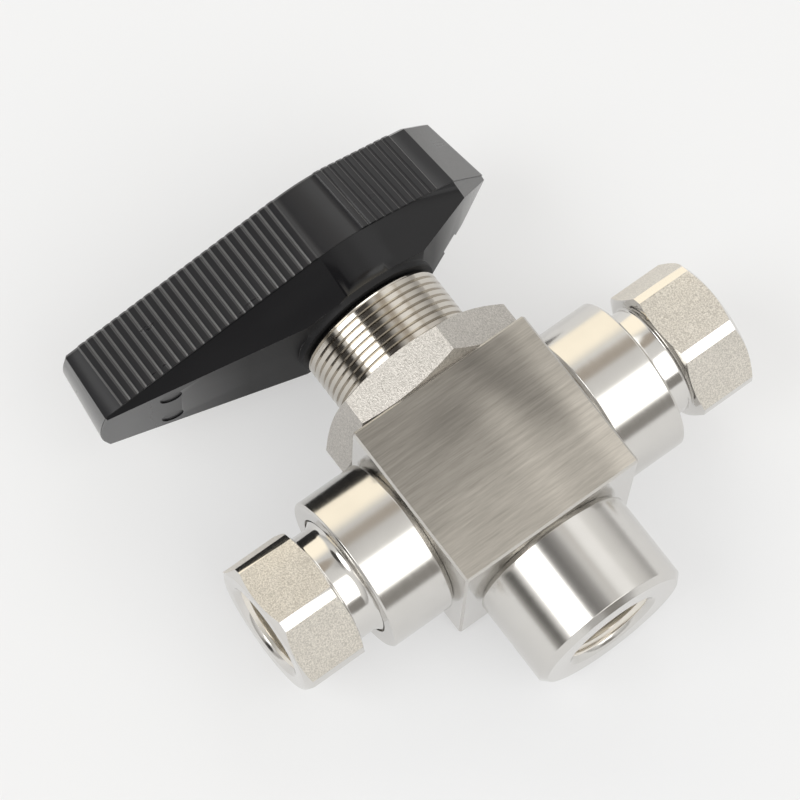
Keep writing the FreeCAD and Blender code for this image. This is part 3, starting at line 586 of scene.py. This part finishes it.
def threaded_neck(material):
    """The neck with its thread cut in, down to the spigot that holds it in the block."""
    depth = NECK_GROOVE * PITCH / 2 / math.tan(FLANK_ANGLE)

    def radius_at(height, share):
        limit = NECK_RADIUS - max(0.0, height - (NECK_TOP - NECK_CHAMFER))
        groove = groove_share((height - NECK_BOTTOM) / PITCH - share, NECK_GROOVE)
        return min(limit, NECK_RADIUS - depth * groove)

    closing = [(NECK_TOP, STEM_HOLE_RADIUS), (CHAMBER_TOP, STEM_HOLE_RADIUS), (CHAMBER_TOP, CHAMBER_RADIUS),
               (SPIGOT_BOTTOM, CHAMBER_RADIUS), (SPIGOT_BOTTOM, SPIGOT_RADIUS), (NECK_BOTTOM, SPIGOT_RADIUS)]
    mesh = threaded_mesh("neck_thread", NECK_BOTTOM, NECK_TOP, NECK_ROWS, radius_at, closing, upright)
    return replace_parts(new_piece("neck_thread", mesh, "valve", material), "packing_bolt")


def port_thread(name, place, material):
    """Taper pipe thread inside a port, as ridges that stand inwards from the hole's wall."""
    wall = PORT_RADIUS - HAIR
    start = MOUTH_RADIUS - wall

    def radius_at(depth, share):
        root = wall - (depth - start) * PORT_TAPER
        ridge = 1 - min(1.0, FLAT_ROOT * groove_share((depth - start) / PITCH - share, 1.0))
        return min(wall, max(MOUTH_RADIUS - depth, root - PORT_THREAD_DEPTH * ridge))

    closing = [(PORT_THREAD_END, wall), (start, wall)]
    mesh = threaded_mesh(name, start, PORT_THREAD_END, PORT_ROWS, radius_at, closing, place)
    return new_piece(name, mesh, "valve", material)


def dress():
    """Give every node its material, and put detailed pieces in place of the nodes that show."""
    turned_z = turned_steel("bright_turned_z", "Z")
    turned_x = turned_steel("bright_turned_x", "X")
    tapped = turned_steel("tapped_thread", "X", 0.3, TAPPED, TAPPED_DARK)
    blasted = blasted_steel("bead_blasted")
    hexagon = hexagon_steel("hexagon_bar")
    block = brushed_block("brushed_bar")
    nylon = moulded_nylon("black_nylon")
    by_slot = {
        "brushed_block": block,
        "turned_steel": turned_x,
        "hexagon_steel": hexagon,
        "blasted_steel": blasted,
        "handle_nylon": nylon,
    }
    for slot, finish in INNER_FINISHES.items():
        by_slot[slot] = plain_inner(slot, *finish)
    for part in frame["record"]["subparts"]:
        node = frame["nodes"][part["node"]]
        node.data.materials.clear()
        node.data.materials.append(by_slot[part["material_slot"]])
    softened("valve_block", "block", "valve", block, 0.12 * MM)
    ports = (("bottom_connector", "common_port", turned_z, "turned_steel", 0.06 * MM, upright),
             ("left_connector", "left_hexagon", hexagon, "hexagon_steel", 0.12 * MM, into_side(-1)),
             ("right_connector", "right_hexagon", hexagon, "hexagon_steel", 0.12 * MM, into_side(1)))
    for node, name, material, slot, width, place in ports:
        softened(node, name, "valve", material, width, place)
        port_thread(name + "_thread", place, tapped)
    for side in ("left", "right"):
        softened(side + "_collar", side + "_screw_collar", "valve", turned_x, 0.1 * MM)
    softened("panel_nut", "nut", "panel_nut", blasted, 0.15 * MM)
    softened("handle", "lever", "handle", nylon, 0.25 * MM)
    threaded_neck(turned_steel("bright_thread", "Z", 0.08, THREAD_STEEL, THREAD_STEEL_DARK))


def table_material():
    """White table top, seen through from its underside, that glows faintly to lift its shadows and light the
    valve's undersides.
    """
    material, nodes = blank_material("white_table")
    white = nodes.add("BsdfPrincipled", Base_Color=TABLE_WHITE, Roughness=0.7,
                      Emission_Color=TABLE_GLOW, Emission_Strength=0.45)
    from_behind = nodes.add("NewGeometry").outputs["Backfacing"]
    clear = nodes.add("BsdfTransparent")
    one_sided = nodes.mix_shaders(from_behind, white.outputs[0], clear.outputs[0])
    nodes.add("OutputMaterial", Surface=one_sided)
    return material


def table_top():
    """The white table behind the valve: it touches the nut's corner and the bottom port's barrel."""
    up = (NUT_TOUCH - BARREL_TOUCH).normalized() * TABLE_HALF_WIDTH
    across = Vector((TABLE_HALF_WIDTH, 0, 0))
    corners = [NUT_TOUCH - across - up, NUT_TOUCH + across - up, NUT_TOUCH + across + up,
               NUT_TOUCH - across + up]
    mesh = bpy.data.meshes.new("table")
    mesh.from_pydata(corners, [], [(0, 1, 2, 3)])
    mesh.materials.append(table_material())
    table = bpy.data.objects.new("table", mesh)
    bpy.context.scene.collection.objects.link(table)
    table.visible_shadow = False


def room_light(nodes, way):
    """The room's own brightness in each direction, from behind the table to the camera's side."""
    ramp = nodes.add("ValToRGB")
    nodes.fill(ramp, 0, nodes.spread(nodes.parts(way)[1], 1.0, 0.0, start=-1.0, end=1.0))
    stops = ramp.color_ramp.elements
    while len(stops) < len(ROOM_LEVELS):
        stops.new(1.0)
    for stop, (place, level) in zip(stops, ROOM_LEVELS):
        stop.position = place
        stop.color = tuple(level * tint for tint in ROOM_TINT) + (1,)
    return ramp.outputs[0]


def studio_light():
    """The lit room round the valve, and a plain backdrop where the camera looks past the table."""
    world = bpy.data.worlds.new("studio")
    bpy.context.scene.world = world
    world.use_nodes = True
    nodes = Nodes(world.node_tree)
    way = nodes.add("VectorMath", operation="NORMALIZE")
    nodes.fill(way, 0, nodes.add("TexCoord").outputs["Generated"])
    colour = room_light(nodes, way.outputs[0])
    for direction, full, edge, light in STUDIO:
        towards = nodes.add("VectorMath", operation="DOT_PRODUCT")
        nodes.fill(towards, 0, way.outputs[0])
        nodes.fill(towards, 1, Vector(direction).normalized())
        reach = nodes.soft_step(towards.outputs["Value"], 0.0, 1.0, start=math.cos(math.radians(edge)),
                                end=math.cos(math.radians(full)))
        colour = nodes.mix(reach, colour, light + (1,))
    lit = nodes.add("Background", Color=colour)
    plain = nodes.add("Background", Color=BACKDROP)
    seen = nodes.add("LightPath").outputs["Is Camera Ray"]
    nodes.add("OutputWorld", Surface=nodes.mix_shaders(seen, lit.outputs[0], plain.outputs[0]))


def photograph_camera():
    camera = bpy.data.objects.new("camera", bpy.data.cameras.new("camera"))
    bpy.context.scene.collection.objects.link(camera)
    camera.location = CAMERA_PLACE
    camera.rotation_euler = [math.radians(angle) for angle in CAMERA_TURN]
    camera.data.lens = CAMERA_LENS
    camera.data.sensor_width = SENSOR_WIDTH
    camera.data.clip_start = NEAREST_SEEN
    bpy.context.scene.camera = camera


dress()
table_top()
studio_light()
photograph_camera()
bpy.context.scene.view_settings.view_transform = "Standard"
